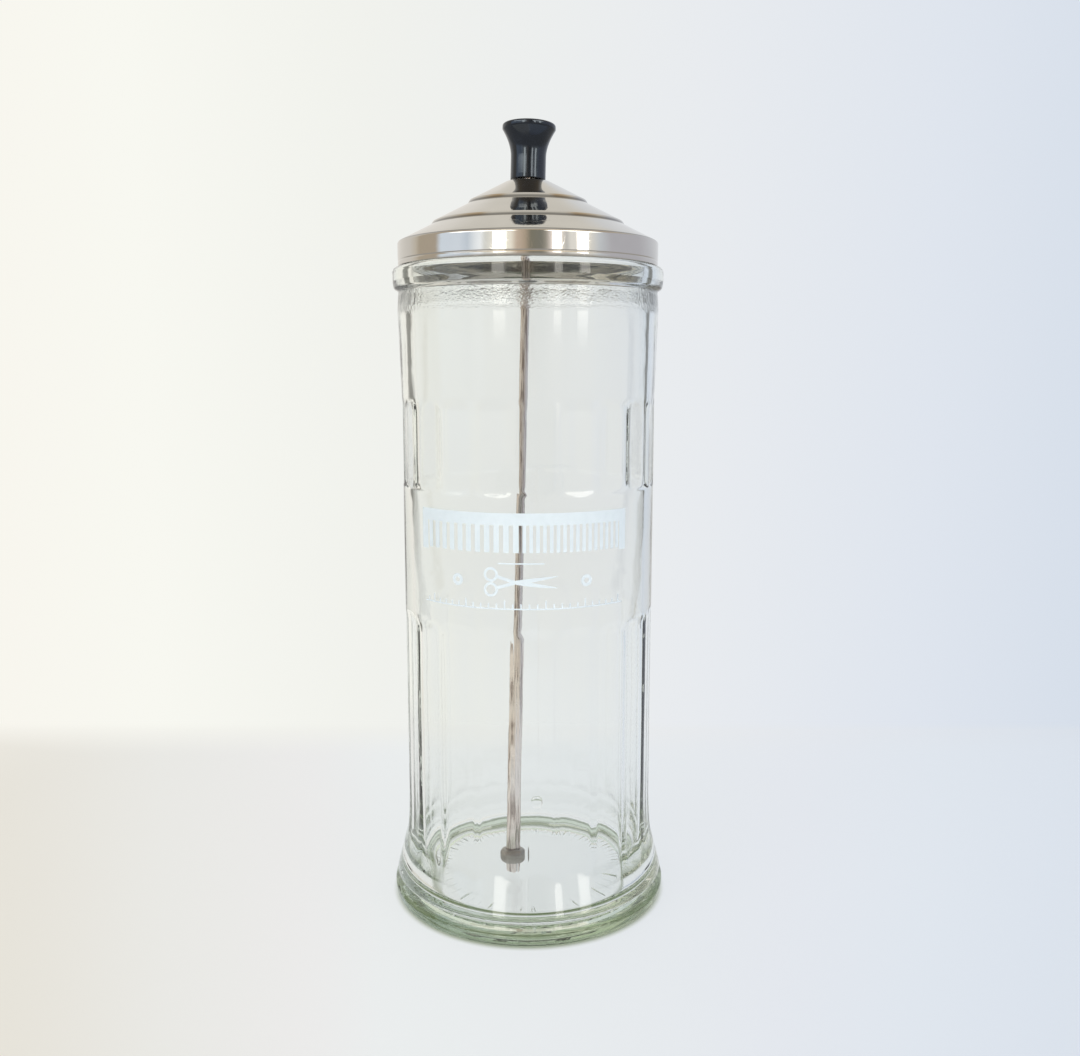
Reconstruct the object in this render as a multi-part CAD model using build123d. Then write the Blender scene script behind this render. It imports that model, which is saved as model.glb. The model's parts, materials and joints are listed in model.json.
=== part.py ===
from build123d import *

import os
from math import asin, atan, cos, degrees, hypot, pi, radians, sin, tan

# Disinfectant jar: a faceted glass jar, a stepped steel cover and a lifting rod with a knob.
# Millimetres. The origin is the centre of the jar's resting plane, +Z is up and -Y is the front.
# Every outline below is a list of (radius, height) points about the jar's or the rod's own axis.

# ---- Driving dimensions: foot of the jar ----
HEEL_R = 52.6
HEEL_TOP_Z = 6.0
HEEL_ROUND = 2.6
HEEL_SHOULDER_ROUND = 5.0
FOOT_SLOPE = 0.265          # radius lost per millimetre of height on the foot's cone
FOOT_TOP_Z = 33.0
PUSH_UP_R = 40.5
PUSH_UP_DEPTH = 0.8
PUSH_UP_RAMP = 2.0

# ---- Driving dimensions: faceted wall ----
FACETS = 20
FACET_APOTHEM = 46.5
FIRST_FACET_DEG = -86.0     # azimuth of the facet nearest the front, from +X towards +Y
FACET_CORNER_R = 4.5
FACET_DEPTH = 0.45          # from the round wall in to the middle of a flat
FACET_CUTTER_HALF_WIDTH = 7.0
FACET_FLARE_R = 178.0       # radius of the facets' outward sweep above the foot
FLARE_TOP_Z = 42.0
LOWER_FACETS_BOTTOM_Z = 12.0
LOWER_FACETS_TOP_Z = 113.5
UPPER_FACETS_BOTTOM_Z = 160.0
UPPER_FACETS_TOP_Z = 192.0
CUTTER_R = 60.0             # beyond the widest part of the jar
CUT_MARGIN = 1.0            # how far a cutter runs past what it cuts

# ---- Driving dimensions: mouth of the jar ----
SHOULDER_R = 48.0
SHOULDER_Z = 224.0
NECK_R = 47.6
NECK_Z = 230.5
BEAD_R = 49.6
BEAD_BOTTOM_Z = 231.4
BEAD_TOP_Z = 238.9
BEAD_ROUND = 1.8
FINISH_R = 46.2
RIM_Z = 246.6
RIM_ROUND = 1.2
INNER_CORNER_ROUND = 0.5

# ---- Driving dimensions: inside of the jar ----
FLOOR_Z = 6.5
BORE_R = 43.4
FLOOR_CORNER_R = 4.0
MOUTH_BORE_R = 42.8
MOUTH_BORE_Z = 229.0
BORE_STEP = 4.0             # height over which the bore narrows to the mouth

# ---- Driving dimensions: register dot on the front facet ----
DOT_Z = 52.0
DOT_R = 2.1
DOT_HEIGHT = 0.5
DOT_ROOT = 1.0              # how far the dot's solid reaches into the wall

# ---- Driving dimensions: lid ----
SHEET = 0.5
SKIRT_R = 47.6
SKIRT_BOTTOM_Z = 239.2
HEM_HEIGHT = 1.8
FOLD_Z = 247.8
FOLD_ROUND = 1.1
TIER_SLOPE_DEG = 27.0
RISERS = ((35.4, 34.8, 1.2), (22.0, 21.4, 1.3))   # lower radius, upper radius, height of each riser
RISER_ROUND = 0.35
SEAT_R = 8.2
LID_HOLE_R = 2.2

# ---- Driving dimensions: knob ----
KNOB_SHANK_R = 6.4
KNOB_SHANK_HEIGHT = 8.2
KNOB_TOP_R = 9.67
KNOB_FLARE_HEIGHT = 17.9
KNOB_FLARE_END_SLOPE = 0.62     # outward run per unit of height where the flare ends
KNOB_HEIGHT = 19.6
KNOB_EDGE_ROUND = 0.7
KNOB_FOOT_ROUND = 0.35
KNOB_DISH_R = 7.4
KNOB_DISH_DEPTH = 0.5
INSERT_R = 3.1
INSERT_DEPTH = 11.0
INSERT_GROOVE_DEPTH = 0.4
INSERT_GROOVE_WIDTH = 1.2
INSERT_GROOVE_Z = (3.0, 7.0)    # heights of the two grooves above the knob's foot

# ---- Driving dimensions: rod and its fixings ----
ROD_R = 3.175 / 2
ROD_END_CHAMFER = 0.4
ROD_IN_INSERT = 10.0
THREAD_CLEARANCE = 0.02
WASHER_R = 4.8
WASHER_THICKNESS = 0.8
WASHER_CLEARANCE = 0.08
LOCK_WASHER_R = 3.1
LOCK_WASHER_THICKNESS = 0.8
LOCK_WASHER_GAP_DEG = 14.0
NUT_SIDES = 6
NUT_ACROSS_FLATS = 7.94
NUT_HEIGHT = 2.8
NUT_CORNER_CHAMFER = 0.45
PLAY = 0.65                 # free gap over and under the lid's seat, so that the rod can lean
BEAD_COLLAR_R = 4.3
BEAD_COLLAR_HEIGHT = 6.0
BEAD_COLLAR_ROUND = 2.2
BEAD_COLLAR_ABOVE_END = 7.9     # from the rod's lower end to the middle of the bead
HANGING_GAP = 0.35          # between the rod's end and the floor when the rod hangs straight

# ---- How the rod leans at rest: sideways run per unit of height, towards the foot ----
LEAN_X = -0.0245
LEAN_Y = -0.0435

# ---- Derived dimensions ----
SECTOR_DEG = 360.0 / FACETS
BAND_R = FACET_APOTHEM + FACET_DEPTH    # the plain label band between the two rows of facets
TIER_TAN = tan(radians(TIER_SLOPE_DEG))
STANDING = (Align.CENTER, Align.CENTER, Align.MIN)      # a cylinder that stands on its own origin


def rounded_run(points, close=False):
    """Edges through (radius, height) or (radius, height, corner rounding) points in the XZ plane."""
    spots = [Vector(point[0], 0, point[1]) for point in points]
    rounds = [point[2] if len(point) > 2 else 0 for point in points]
    if not close:
        rounds = rounds[1:-1]
    return FilletPolyline(*spots, radius=rounds, close=close).edges()


def turned(points):
    """Turn a closed outline about Z into a solid."""
    return revolve(make_face(rounded_run(points, close=True)), axis=Axis.Z)


# ---- Glass jar ----

def jar_foot():
    """The thick round foot: resting ring, heel, and the cone that the facets run into."""
    top_r = HEEL_R - FOOT_SLOPE * (FOOT_TOP_Z - HEEL_TOP_Z)
    points = [
        (0, PUSH_UP_DEPTH),
        (PUSH_UP_R - PUSH_UP_RAMP, PUSH_UP_DEPTH),
        (PUSH_UP_R, 0),
        (HEEL_R, 0, HEEL_ROUND),
        (HEEL_R, HEEL_TOP_Z, HEEL_SHOULDER_ROUND),
        (top_r, FOOT_TOP_Z),
        (0, FOOT_TOP_Z),
    ]
    return turned(points)


def flare_edge(apothem, bottom_z):
    """The outward sweep from the top of the flare down to bottom_z, for a wall apothem wide above it."""
    inset = apothem - FACET_APOTHEM
    sweep_r = FACET_FLARE_R - inset
    centre_r = FACET_APOTHEM + FACET_FLARE_R
    whole = asin((FLARE_TOP_Z - bottom_z) / sweep_r)
    spots = [
        (centre_r - sweep_r * cos(angle), 0, FLARE_TOP_Z - sweep_r * sin(angle))
        for angle in (0, whole / 2, whole)
    ]
    return Edge.make_three_point_arc(*spots)


def run(*points):
    """Straight edges through (radius, height) points in the XZ plane."""
    return Polyline(*[Vector(r, 0, z) for r, z in points]).edges()


def jar_wall():
    """The round blank of the wall and mouth, from inside the foot up to the rim."""
    flare = flare_edge(BAND_R, LOWER_FACETS_BOTTOM_Z)
    foot_r = (flare @ 1).X
    points = [
        (BAND_R, FLARE_TOP_Z),
        (BAND_R, UPPER_FACETS_TOP_Z),
        (SHOULDER_R, SHOULDER_Z),
        (NECK_R, NECK_Z),
        (NECK_R, BEAD_BOTTOM_Z),
        (BEAD_R, BEAD_BOTTOM_Z, BEAD_ROUND),
        (BEAD_R, BEAD_TOP_Z, BEAD_ROUND),
        (FINISH_R, BEAD_TOP_Z, INNER_CORNER_ROUND),
        (FINISH_R, RIM_Z, RIM_ROUND),
        (0, RIM_Z),
    ]
    upper = rounded_run(points)
    closing = run((0, RIM_Z), (0, LOWER_FACETS_BOTTOM_Z), (foot_r, LOWER_FACETS_BOTTOM_Z))
    return revolve(make_face([flare, *upper, *closing]), axis=Axis.Z)


def facet_cutter(bottom_z, top_z, flared):
    """What one facet takes off the wall: a slab outside the flat, with rounded corners at its ends."""
    window_bottom_z = bottom_z
    foot_r = FACET_APOTHEM
    if flared:
        flare = flare_edge(FACET_APOTHEM, bottom_z)
        foot_r = (flare @ 1).X
        window_bottom_z = bottom_z - 2 * FACET_CORNER_R
        side = [flare, *run((FACET_APOTHEM, FLARE_TOP_Z), (FACET_APOTHEM, top_z))]
    else:
        side = run((FACET_APOTHEM, bottom_z), (FACET_APOTHEM, top_z))
    outside = run((FACET_APOTHEM, top_z), (CUTTER_R, top_z), (CUTTER_R, bottom_z), (foot_r, bottom_z))
    slab = extrude(make_face([*side, *outside]), amount=FACET_CUTTER_HALF_WIDTH, dir=(0, 1, 0), both=True)
    window_plane = Plane(origin=(0, 0, (window_bottom_z + top_z) / 2), x_dir=(0, 1, 0), z_dir=(1, 0, 0))
    window = RectangleRounded(2 * FACET_CUTTER_HALF_WIDTH, top_z - window_bottom_z, FACET_CORNER_R)
    return slab & extrude(window_plane * window, amount=CUTTER_R + CUT_MARGIN)


def facet_ring(bottom_z, top_z, flared):
    """One cutter for each facet round the jar."""
    cutter = facet_cutter(bottom_z, top_z, flared)
    return [Rot(0, 0, FIRST_FACET_DEG + SECTOR_DEG * n) * cutter for n in range(FACETS)]


def jar_cavity():
    """The bore, with a rounded floor corner and a slightly narrower mouth."""
    points = [
        (0, FLOOR_Z),
        (BORE_R, FLOOR_Z, FLOOR_CORNER_R),
        (BORE_R, MOUTH_BORE_Z - BORE_STEP),
        (MOUTH_BORE_R, MOUTH_BORE_Z),
        (MOUTH_BORE_R, RIM_Z - RIM_ROUND),
        (MOUTH_BORE_R + RIM_ROUND, RIM_Z),
        (MOUTH_BORE_R + RIM_ROUND, RIM_Z + CUT_MARGIN),
        (0, RIM_Z + CUT_MARGIN),
    ]
    return turned(points)


def register_dot():
    """The small raised dot on the facet nearest the front."""
    ball_r = (DOT_R ** 2 + DOT_HEIGHT ** 2) / (2 * DOT_HEIGHT)
    centre = Pos(FACET_APOTHEM + DOT_HEIGHT - ball_r, 0, DOT_Z)
    keep = Pos(FACET_APOTHEM, 0, DOT_Z) * Box(2 * DOT_ROOT, 3 * DOT_R, 3 * DOT_R)
    cap = centre * Sphere(ball_r) & keep
    return Rot(0, 0, FIRST_FACET_DEG) * cap


def glass_jar():
    """The whole jar: faceted wall, foot and dot, hollowed out."""
    wall = jar_wall()
    wall -= facet_ring(LOWER_FACETS_BOTTOM_Z, LOWER_FACETS_TOP_Z, flared=True)
    wall -= facet_ring(UPPER_FACETS_BOTTOM_Z, UPPER_FACETS_TOP_Z, flared=False)
    return wall + jar_foot() + register_dot() - jar_cavity()


# ---- Lid ----

def lid_tiers():
    """The outside of the lid's top, from the fold above the skirt to the edge of the flat seat."""
    points = [(SKIRT_R, FOLD_Z)]
    for lower_r, upper_r, height in RISERS:
        last_r, last_z = points[-1]
        tier_top_z = last_z + (last_r - lower_r) * TIER_TAN
        points.append((lower_r, tier_top_z))
        points.append((upper_r, tier_top_z + height))
    last_r, last_z = points[-1]
    points.append((SEAT_R, last_z + (last_r - SEAT_R) * TIER_TAN))
    return points


TIERS = lid_tiers()
SEAT_Z = TIERS[-1][1]


def lid_shell():
    """Drawn sheet steel: skirt with a folded hem, three conical tiers and a flat seat with a hole."""
    outside = [(SKIRT_R, SKIRT_BOTTOM_Z)] + TIERS + [(LID_HOLE_R, SEAT_Z)]
    radii = [FOLD_ROUND] + [RISER_ROUND] * (len(TIERS) - 1)
    outer = FilletPolyline(*[Vector(r, 0, z) for r, z in outside], radius=radii)
    skin = offset(Wire(outer.edges()), amount=SHEET, side=Side.RIGHT, closed=True)
    shell = revolve(make_face(skin.edges()), axis=Axis.Z)
    hem_outer_r = SKIRT_R - SHEET
    hem = turned([
        (hem_outer_r - SHEET, SKIRT_BOTTOM_Z),
        (hem_outer_r, SKIRT_BOTTOM_Z),
        (hem_outer_r, SKIRT_BOTTOM_Z + HEM_HEIGHT),
        (hem_outer_r - SHEET, SKIRT_BOTTOM_Z + HEM_HEIGHT),
    ])
    return shell + hem


# ---- Rod, knob and fixings: drawn straight, with the lid's seat at height 0, then leaned ----

PIVOT_Z = SEAT_Z - SHEET / 2
KNOB_FOOT_Z = SHEET / 2 + PLAY
WASHER_TOP_Z = -SHEET / 2 - PLAY
WASHER_BOTTOM_Z = WASHER_TOP_Z - WASHER_THICKNESS
LOCK_WASHER_TOP_Z = WASHER_BOTTOM_Z - WASHER_CLEARANCE
NUT_TOP_Z = LOCK_WASHER_TOP_Z - LOCK_WASHER_THICKNESS
ROD_BOTTOM_Z = FLOOR_Z + HANGING_GAP - PIVOT_Z
ROD_TOP_Z = KNOB_FOOT_Z + ROD_IN_INSERT
BEAD_COLLAR_Z = ROD_BOTTOM_Z + BEAD_COLLAR_ABOVE_END

LEAN_RUN = hypot(LEAN_X, LEAN_Y)
LEAN_DEG = degrees(atan(LEAN_RUN))
SWAY_AXIS = Axis((0, 0, PIVOT_Z), (LEAN_Y / LEAN_RUN, -LEAN_X / LEAN_RUN, 0))


def leaned(piece):
    """Lift a piece to the lid's seat and lean it as the rod leans at rest."""
    return (Pos(0, 0, PIVOT_Z) * piece).rotate(SWAY_AXIS, LEAN_DEG)


def knob():
    """Black moulded knob: straight shank, flared head with a shallow dish, blind hole for the insert."""
    flare_start = (KNOB_SHANK_R, KNOB_FOOT_Z + KNOB_SHANK_HEIGHT)
    flare_end = (KNOB_TOP_R, KNOB_FOOT_Z + KNOB_FLARE_HEIGHT)
    top_z = KNOB_FOOT_Z + KNOB_HEIGHT
    flare = Spline(
        (flare_start[0], 0, flare_start[1]),
        (flare_end[0], 0, flare_end[1]),
        tangents=[(0, 0, 1), (KNOB_FLARE_END_SLOPE, 0, 1)],
    )
    face = make_face([
        Edge.make_line((0, 0, KNOB_FOOT_Z), (KNOB_SHANK_R, 0, KNOB_FOOT_Z)),
        Edge.make_line((KNOB_SHANK_R, 0, KNOB_FOOT_Z), (flare_start[0], 0, flare_start[1])),
        *flare.edges(),
        Edge.make_line((flare_end[0], 0, flare_end[1]), (KNOB_TOP_R, 0, top_z)),
        Edge.make_line((KNOB_TOP_R, 0, top_z), (KNOB_DISH_R, 0, top_z)),
        Edge.make_line((KNOB_DISH_R, 0, top_z), (0, 0, top_z - KNOB_DISH_DEPTH)),
        Edge.make_line((0, 0, top_z - KNOB_DISH_DEPTH), (0, 0, KNOB_FOOT_Z)),
    ])
    body = revolve(face, axis=Axis.Z)
    outer = body.edges().filter_by(GeomType.CIRCLE)
    body = fillet(outer.filter_by_position(Axis.Z, top_z, top_z).sort_by(SortBy.RADIUS)[-1], KNOB_EDGE_ROUND)
    foot = body.edges().filter_by(GeomType.CIRCLE).filter_by_position(Axis.Z, KNOB_FOOT_Z, KNOB_FOOT_Z)
    body = fillet(foot, KNOB_FOOT_ROUND)
    return body - insert_blank()


def insert_blank():
    """The outside of the knob's insert: a plug with two keying grooves."""
    blank = Pos(0, 0, KNOB_FOOT_Z) * Cylinder(INSERT_R, INSERT_DEPTH, align=STANDING)
    core_r = INSERT_R - INSERT_GROOVE_DEPTH
    groove = Cylinder(INSERT_R + CUT_MARGIN, INSERT_GROOVE_WIDTH) - Cylinder(core_r, INSERT_GROOVE_WIDTH)
    for height in INSERT_GROOVE_Z:
        blank -= Pos(0, 0, KNOB_FOOT_Z + height) * groove
    return blank


def knob_insert():
    """The knob's insert, with a blind hole for the rod."""
    hole = Cylinder(ROD_R + THREAD_CLEARANCE, ROD_IN_INSERT + THREAD_CLEARANCE, align=STANDING)
    return insert_blank() - Pos(0, 0, KNOB_FOOT_Z) * hole


def lift_rod():
    """Plain round rod from inside the knob's insert down to just above the jar's floor."""
    rod = Pos(0, 0, ROD_BOTTOM_Z) * Cylinder(ROD_R, ROD_TOP_Z - ROD_BOTTOM_Z, align=STANDING)
    return chamfer(rod.edges().filter_by(GeomType.CIRCLE), ROD_END_CHAMFER)


def ring(outer_r, inner_r, bottom_z, height):
    """A flat ring about the rod's axis."""
    disc = Cylinder(outer_r, height, align=STANDING)
    return Pos(0, 0, bottom_z) * (disc - Cylinder(inner_r, height, align=STANDING))


def under_lid_washer():
    """Flat washer that bears on the lid's underside when the lid is lifted by its knob."""
    return ring(WASHER_R, ROD_R + WASHER_CLEARANCE, WASHER_BOTTOM_Z, WASHER_THICKNESS)


def lock_washer():
    """Split spring washer, pressed flat."""
    washer = ring(LOCK_WASHER_R, ROD_R + THREAD_CLEARANCE, NUT_TOP_Z, LOCK_WASHER_THICKNESS)
    gap_width = 2 * LOCK_WASHER_R * sin(radians(LOCK_WASHER_GAP_DEG / 2))
    gap = Pos(LOCK_WASHER_R, 0, NUT_TOP_Z + LOCK_WASHER_THICKNESS / 2) * Box(
        2 * LOCK_WASHER_R, gap_width, 2 * LOCK_WASHER_THICKNESS
    )
    return washer - gap


def retaining_nut():
    """Hexagon nut with its corners turned off above and below."""
    hexagon = RegularPolygon(NUT_ACROSS_FLATS / 2, NUT_SIDES, major_radius=False)
    prism = Pos(0, 0, NUT_TOP_Z - NUT_HEIGHT) * extrude(hexagon, amount=NUT_HEIGHT)
    corner_r = NUT_ACROSS_FLATS / 2 / cos(pi / NUT_SIDES)
    drum = Pos(0, 0, NUT_TOP_Z - NUT_HEIGHT / 2) * Cylinder(corner_r, NUT_HEIGHT)
    drum = chamfer(drum.edges().filter_by(GeomType.CIRCLE), NUT_CORNER_CHAMFER)
    bore = Pos(0, 0, NUT_TOP_Z - NUT_HEIGHT / 2) * Cylinder(ROD_R + THREAD_CLEARANCE, 2 * NUT_HEIGHT)
    return (prism & drum) - bore


def foot_bead():
    """Barrel-shaped collar pressed on the rod, with rounded edges."""
    barrel = Pos(0, 0, BEAD_COLLAR_Z) * Cylinder(BEAD_COLLAR_R, BEAD_COLLAR_HEIGHT)
    barrel = fillet(barrel.edges().filter_by(GeomType.CIRCLE), BEAD_COLLAR_ROUND)
    return barrel - Pos(0, 0, BEAD_COLLAR_Z) * Cylinder(ROD_R, 2 * BEAD_COLLAR_HEIGHT)


PIECES = {
    "glass_jar": glass_jar(),
    "lid_shell": lid_shell(),
    "knob": leaned(knob()),
    "knob_insert": leaned(knob_insert()),
    "lift_rod": leaned(lift_rod()),
    "under_lid_washer": leaned(under_lid_washer()),
    "lock_washer": leaned(lock_washer()),
    "retaining_nut": leaned(retaining_nut()),
    "foot_bead": leaned(foot_bead()),
}

os.makedirs("parts", exist_ok=True)
for name, piece in PIECES.items():
    export_step(piece, f"parts/{name}.step")

print(f"rod pivot height {PIVOT_Z:.3f} mm, lean {LEAN_DEG:.4f} degrees")
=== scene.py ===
import json
from math import atan2, cos, degrees, hypot, pi, radians, sin, tan

import bpy
import numpy as np
from mathutils import Matrix, Vector


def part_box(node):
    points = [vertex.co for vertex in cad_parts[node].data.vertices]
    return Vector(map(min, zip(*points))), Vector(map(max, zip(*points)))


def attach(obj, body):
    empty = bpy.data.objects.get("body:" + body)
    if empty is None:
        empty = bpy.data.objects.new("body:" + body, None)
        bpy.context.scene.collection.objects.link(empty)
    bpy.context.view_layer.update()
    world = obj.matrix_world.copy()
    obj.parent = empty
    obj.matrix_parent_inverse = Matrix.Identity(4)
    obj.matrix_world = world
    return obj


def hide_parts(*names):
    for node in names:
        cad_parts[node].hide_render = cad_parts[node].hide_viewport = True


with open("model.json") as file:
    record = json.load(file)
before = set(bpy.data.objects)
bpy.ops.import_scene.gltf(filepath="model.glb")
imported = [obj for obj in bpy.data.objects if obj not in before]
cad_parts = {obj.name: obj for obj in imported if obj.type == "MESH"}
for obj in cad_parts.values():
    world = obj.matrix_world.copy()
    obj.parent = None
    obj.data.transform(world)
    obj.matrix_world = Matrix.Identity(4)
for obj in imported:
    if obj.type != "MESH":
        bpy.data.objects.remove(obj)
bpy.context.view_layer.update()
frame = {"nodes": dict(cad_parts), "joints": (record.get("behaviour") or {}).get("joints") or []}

# ---------------- sizes, in metres, from the frame
MM = 0.001
JAR_LOW, JAR_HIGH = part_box("glass_jar")
LID_LOW, LID_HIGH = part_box("lid_shell")

HEEL_R = (JAR_HIGH.x - JAR_LOW.x) / 2
RIM_Z = JAR_HIGH.z
SKIRT_R = (LID_HIGH.x - LID_LOW.x) / 2
SKIRT_BOTTOM_Z = LID_LOW.z
SEAT_Z = LID_HIGH.z

JOINTS = {joint["name"]: joint for joint in frame["joints"]}
PIVOT = Vector(JOINTS["knob_turn"]["pos_m"])
ROD_AXIS = Vector(JOINTS["knob_turn"]["axis"]).normalized()

# Foot, wall and facets of the jar
HEEL_TOP_Z = 6.0 * MM
HEEL_ROUND = 2.6 * MM
FOOT_SLOPE = 0.265
PUSH_UP_R = 40.5 * MM
PUSH_UP_DEPTH = 0.8 * MM
PUSH_UP_RAMP = 2.0 * MM
FACETS = 20
FIRST_FACET = radians(-86.0)
FACET_APOTHEM = 46.5 * MM
FACET_DEPTH = 0.45 * MM
FACET_HALF_WIDTH = 7.0 * MM
FACET_CORNER_R = 4.5 * MM
FACET_FLARE_R = 178.0 * MM
FLARE_TOP_Z = 42.0 * MM
LOWER_FACETS_BOTTOM_Z = -20.0 * MM  # below the jar, because the lower facets run right into the foot
LOWER_FACETS_TOP_Z = 113.5 * MM
UPPER_FACETS_BOTTOM_Z = 160.0 * MM
UPPER_FACETS_TOP_Z = 192.0 * MM
FACET_ROWS = ((LOWER_FACETS_BOTTOM_Z, LOWER_FACETS_TOP_Z), (UPPER_FACETS_BOTTOM_Z, UPPER_FACETS_TOP_Z))
FACET_TOP_SOFTNESS = 3.0 * MM      # height over which a facet's upper end runs out into the round wall
FACET_BOTTOM_SOFTNESS = 1.4 * MM
BAND_R = FACET_APOTHEM + FACET_DEPTH

# Mouth and inside of the jar
SHOULDER_R = 48.0 * MM
SHOULDER_Z = 224.0 * MM
NECK_R = 47.6 * MM
NECK_Z = 230.5 * MM
BEAD_R = 49.6 * MM
BEAD_BOTTOM_Z = 231.4 * MM
BEAD_TOP_Z = 238.9 * MM
BEAD_ROUND = 1.8 * MM
FINISH_R = 46.2 * MM
RIM_ROUND = 1.2 * MM
FLOOR_Z = 6.5 * MM
BORE_R = 43.4 * MM
FLOOR_CORNER_R = 4.0 * MM
MOUTH_BORE_R = 42.8 * MM
MOUTH_BORE_Z = 229.0 * MM
BORE_STEP = 4.0 * MM

# Lid
SHEET = 0.5 * MM
HEM_HEIGHT = 1.8 * MM
GROOVE_DEPTH = 0.20 * MM
GROOVE_HALF_HEIGHT = 0.40 * MM
SKIRT_BULGE_R = 12.0 * MM
FOLD_Z = 247.8 * MM
FOLD_ROUND = 1.1 * MM
TIER_TAN = tan(radians(27.0))
RISERS = ((35.4 * MM, 34.8 * MM, 1.2 * MM), (22.0 * MM, 21.4 * MM, 1.3 * MM))
RISER_ROUND = 0.35 * MM
SEAT_R = 8.2 * MM
LID_HOLE_R = 2.2 * MM
LID_HOLE_ROUND = 0.15 * MM
CREASE_SHADE_WIDTH = 0.42 * MM           # half the width of the painted shade line in a crease
# painted shade: the metal's colour is multiplied by this along each crease and the fold
CREASE_SHADE_TONE = 0.38
FOLD_SHADE_IN = 0.55 * MM           # the painted shade line at the fold lies this far in from the skirt's face

# Knob, rod and foot bead, as heights along the rod's own axis from the pivot
PLAY = 0.65 * MM
KNOB_FOOT_Z = SHEET / 2 + PLAY
KNOB_SHANK_R = 6.4 * MM
KNOB_SHANK_HEIGHT = 8.2 * MM
KNOB_TOP_R = 9.67 * MM
KNOB_FLARE_HEIGHT = 17.9 * MM
KNOB_FLARE_END_SLOPE = 0.62
KNOB_FLARE_STEPS = 22
KNOB_HEIGHT = 19.59 * MM
KNOB_EDGE_ROUND = 0.7 * MM
KNOB_FOOT_ROUND = 0.35 * MM
KNOB_DISH_R = 7.4 * MM
KNOB_DISH_DEPTH = 0.5 * MM
KNOB_HOLE_DEPTH = 11.0 * MM
INSERT_R = 3.1 * MM
ROD_R = 3.175 * MM / 2
ROD_END_ROUND = 0.4 * MM
ROD_IN_KNOB = 10.0 * MM
ROD_TOP = KNOB_FOOT_Z + ROD_IN_KNOB
ROD_OFF_FLOOR = 0.35 * MM
ROD_BOTTOM = FLOOR_Z + ROD_OFF_FLOOR - PIVOT.z
BEAD_COLLAR_R = 4.3 * MM
BEAD_COLLAR_HEIGHT = 6.0 * MM
BEAD_COLLAR_ROUND = 2.2 * MM
BEAD_COLLAR_RISE = 7.9 * MM
BEAD_COLLAR_MIDDLE = ROD_BOTTOM + BEAD_COLLAR_RISE


# ---------------- mesh helpers

def arc_points(before, corner, after, radius, steps):
    """Points of the arc that rounds a corner, from one side's tangent point to the other's."""
    corner_v, before_v, after_v = Vector(corner), Vector(before), Vector(after)
    to_before = (before_v - corner_v).normalized()
    to_after = (after_v - corner_v).normalized()
    half = to_before.angle(to_after) / 2
    centre = corner_v + (to_before + to_after).normalized() * (radius / sin(half))
    start = corner_v + to_before * (radius / tan(half)) - centre
    end = corner_v + to_after * (radius / tan(half)) - centre
    turn = start.angle_signed(end)
    return [centre + Matrix.Rotation(-turn * n / steps, 2) @ start for n in range(steps + 1)]


def outline(points, steps=8, close=False):
    """Outline through (radius, height) or (radius, height, rounding) points, corners rounded."""
    result = []
    count = len(points)
    for n, point in enumerate(points):
        inner = close or 0 < n < count - 1
        if len(point) > 2 and inner:
            before = points[n - 1][:2]
            after = points[(n + 1) % count][:2]
            result += arc_points(before, point[:2], after, point[2], steps)
        else:
            result.append(Vector(point[:2]))
    return [(p.x, p.y) for p in result]


def subdivided(points, longest, close=False):
    """The same outline with no stretch longer than longest."""
    result = []
    count = len(points)
    for n in range(count if close else count - 1):
        r0, z0 = points[n]
        r1, z1 = points[(n + 1) % count]
        parts = max(1, int(np.ceil(hypot(r1 - r0, z1 - z0) / longest)))
        result += [(r0 + (r1 - r0) * k / parts, z0 + (z1 - z0) * k / parts) for k in range(parts)]
    if not close:
        result.append(points[-1])
    return result


def mesh_piece(name, vertices, faces, smooth_deg=None):
    """A new mesh object, smooth shaded, with edges sharper than smooth_deg left sharp."""
    mesh = bpy.data.meshes.new(name)
    mesh.from_pydata([tuple(v) for v in vertices], [], faces)
    mesh.validate()
    mesh.polygons.foreach_set("use_smooth", [True] * len(mesh.polygons))
    if smooth_deg is not None:
        mesh.set_sharp_from_angle(angle=radians(smooth_deg))
    mesh.update()
    piece = bpy.data.objects.new(name, mesh)
    bpy.context.scene.collection.objects.link(piece)
    return piece


def ring_grid(rings, close=False):
    """Vertices and faces of a stack of rings. A ring of one point is a pole."""
    vertices, starts = [], []
    for ring in rings:
        starts.append((len(vertices), len(ring)))
        vertices += ring
    faces = []
    pairs = list(zip(starts, starts[1:]))
    if close:
        pairs.append((starts[-1], starts[0]))
    for (a, a_count), (b, b_count) in pairs:
        count = max(a_count, b_count)
        for k in range(count):
            after = (k + 1) % count
            if a_count == 1:
                faces.append((a, b + after, b + k))
            elif b_count == 1:
                faces.append((a + k, a + after, b))
            else:
                faces.append((a + k, a + after, b + after, b + k))
    return vertices, faces


def turned(name, points, segments=96, close=False, place=None, smooth_deg=38):
    """A piece turned about Z from an outline, which runs upwards outside and down inside."""
    angles = [2 * pi * k / segments for k in range(segments)]
    rings = []
    for r, z in points:
        if r == 0:
            rings.append([Vector((0, 0, z))])
        else:
            rings.append([Vector((r * cos(a), r * sin(a), z)) for a in angles])
    vertices, faces = ring_grid(rings, close)
    if place is not None:
        vertices = [place @ v for v in vertices]
    return mesh_piece(name, vertices, faces, smooth_deg)


def smooth_step(value, low, high):
    """0 below low, 1 above high, and a smooth rise between them."""
    t = np.clip((value - low) / (high - low), 0, 1)
    return t * t * (3 - 2 * t)


def soft_max(a, b, softness):
    """The larger of two values, with the change from one to the other rounded."""
    return (a + b + np.sqrt((a - b) ** 2 + softness ** 2)) / 2


def rod_place():
    """From heights along the rod's own axis to its leaning place under the lid's seat."""
    turn = Vector((0, 0, 1)).rotation_difference(ROD_AXIS).to_matrix().to_4x4()
    return Matrix.Translation(PIVOT) @ turn


# ---------------- material helpers

NOISE_ROUGHNESS = 0.55


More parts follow.
